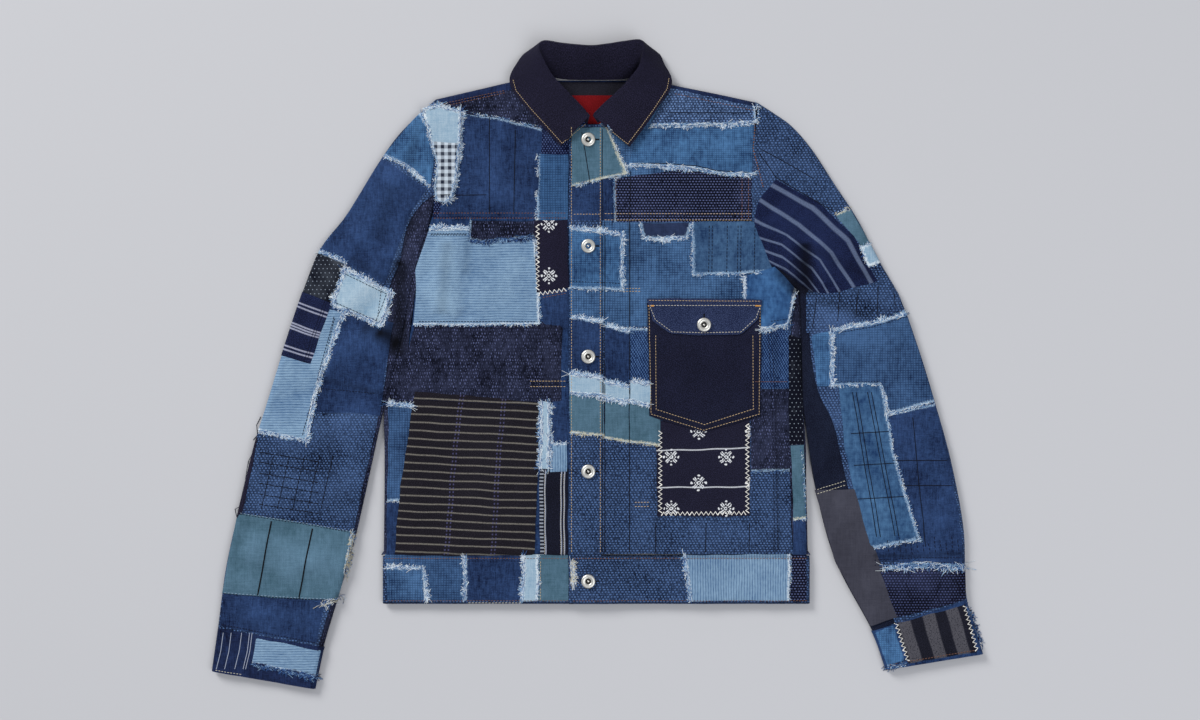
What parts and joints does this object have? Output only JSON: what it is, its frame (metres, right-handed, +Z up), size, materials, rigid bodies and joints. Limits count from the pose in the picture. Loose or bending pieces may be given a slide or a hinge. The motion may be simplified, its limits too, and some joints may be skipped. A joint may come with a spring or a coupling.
{
  "type": "patched boro jacket",
  "caption": "Short button-front work jacket covered in sewn-on indigo patches, laid flat on its back with its sleeves beside the body.",
  "frame": {"origin": "centre of the jacket's outline on the surface that it lies on", "axes": "+Z up from the surface, +Y towards the collar, +X towards the wearer's left sleeve"},
  "size_m": [0.9228, 0.7748, 0.0277],
  "materials": {
    "indigo_cloth": "worn indigo cotton, coarse weave, matt",
    "dark_indigo_cloth": "dark indigo cotton with running stitches, matt",
    "navy_printed_cloth": "navy cotton with white dots, stripes or sprigs, matt",
    "light_rib_cloth": "pale blue ribbed cotton with frayed edges, matt",
    "teal_cloth": "washed teal cotton, matt",
    "black_striped_cloth": "black cotton with woven stripes, matt",
    "check_cloth": "black and white gingham, matt",
    "black_navy_cloth": "black-navy cotton twill, matt",
    "facing_cloth": "dark grey-navy plain cotton, matt",
    "label_cloth": "plain red woven tape, satin",
    "button_steel": "pressed steel, satin"
  },
  "bodies": {
    "root": {"back_panel": "indigo_cloth", "front_panel_right": "indigo_cloth", "front_panel_left": "indigo_cloth", "front_yoke_right": "indigo_cloth", "front_yoke_left": "indigo_cloth", "waistband": "indigo_cloth", "sleeve_right_top": "indigo_cloth", "sleeve_left_top": "indigo_cloth", "cuff_right": "indigo_cloth", "cuff_left": "indigo_cloth", "placket": "indigo_cloth", "patch_blue_shoulder": "indigo_cloth", "patch_linen_yoke": "indigo_cloth", "patch_ruled_chest": "indigo_cloth", "patch_bright_chest": "indigo_cloth", "patch_linen_sleeve": "indigo_cloth", "patch_ruled_sleeve": "indigo_cloth", "back_yoke": "dark_indigo_cloth", "side_panel_right": "dark_indigo_cloth", "side_panel_left": "dark_indigo_cloth", "sleeve_right_under": "dark_indigo_cloth", "sleeve_left_under": "dark_indigo_cloth", "patch_speckled": "dark_indigo_cloth", "patch_dotted_yoke": "dark_indigo_cloth", "patch_dark_side": "dark_indigo_cloth", "patch_dark_band": "dark_indigo_cloth", "patch_dotted_cuff_end": "dark_indigo_cloth", "patch_motif_placket": "navy_printed_cloth", "patch_motif_belly": "navy_printed_cloth", "patch_narrow_ruled": "navy_printed_cloth", "patch_dotted_sleeve": "navy_printed_cloth", "patch_banded_sleeve": "navy_printed_cloth", "patch_striped_sleeve": "navy_printed_cloth", "patch_rib_chest": "light_rib_cloth", "patch_rib_band": "light_rib_cloth", "patch_rib_sleeve": "light_rib_cloth", "patch_rib_cuff": "light_rib_cloth", "patch_pale_shoulder": "light_rib_cloth", "patch_pale_band": "light_rib_cloth", "patch_pale_sleeve": "light_rib_cloth", "patch_teal_neck": "teal_cloth", "patch_teal_band": "teal_cloth", "patch_teal_band_end": "teal_cloth", "patch_teal_sleeve": "teal_cloth", "patch_teal_edge": "teal_cloth", "patch_striped_belly": "black_striped_cloth", "patch_striped_cuff": "black_striped_cloth", "patch_gingham_shoulder": "check_cloth", "collar": "black_navy_cloth", "pocket": "black_navy_cloth", "pocket_flap": "black_navy_cloth", "neck_facing": "facing_cloth", "neck_label": "label_cloth", "button_1": "button_steel", "button_2": "button_steel", "button_3": "button_steel", "button_4": "button_steel", "button_5": "button_steel", "button_pocket": "button_steel"}
  },
  "joints": []
}
